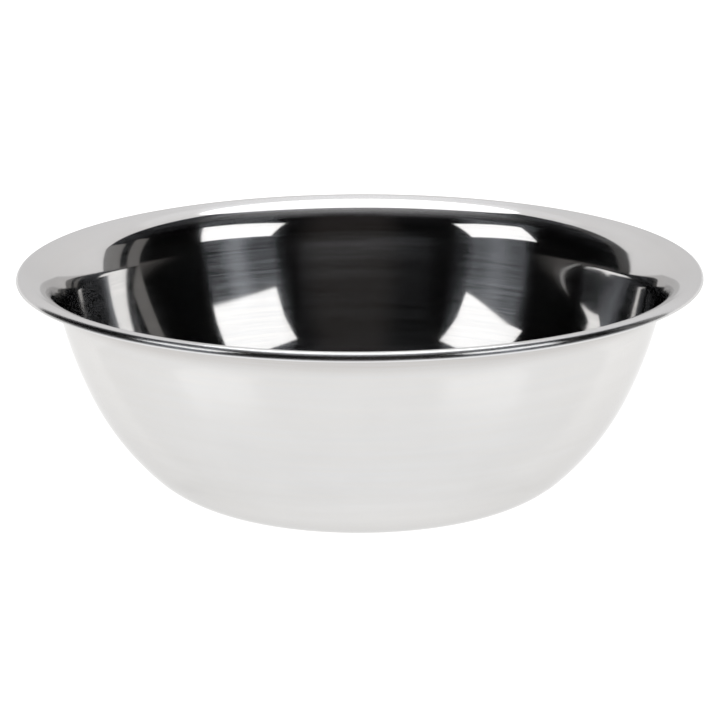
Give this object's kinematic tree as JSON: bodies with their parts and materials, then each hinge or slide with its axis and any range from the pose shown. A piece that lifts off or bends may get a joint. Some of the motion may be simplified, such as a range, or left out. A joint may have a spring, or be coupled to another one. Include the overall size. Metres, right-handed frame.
{
  "type": "mixing bowl",
  "caption": "Round open mixing bowl of polished stainless sheet with a flat base, bellied side and a wide flared rim rolled under at its edge.",
  "frame": {"origin": "centre of the flat underside, on the plane the bowl stands on", "axes": "+Z is the bowl's axis of revolution, pointing up out of the mouth; X and Y are any two directions across it"},
  "size_m": [0.3364, 0.3364, 0.1127],
  "materials": {
    "steel": "bright polished stainless steel with fine spin lines running round the bowl"
  },
  "bodies": {
    "root": {"bowl": "steel"}
  },
  "joints": []
}
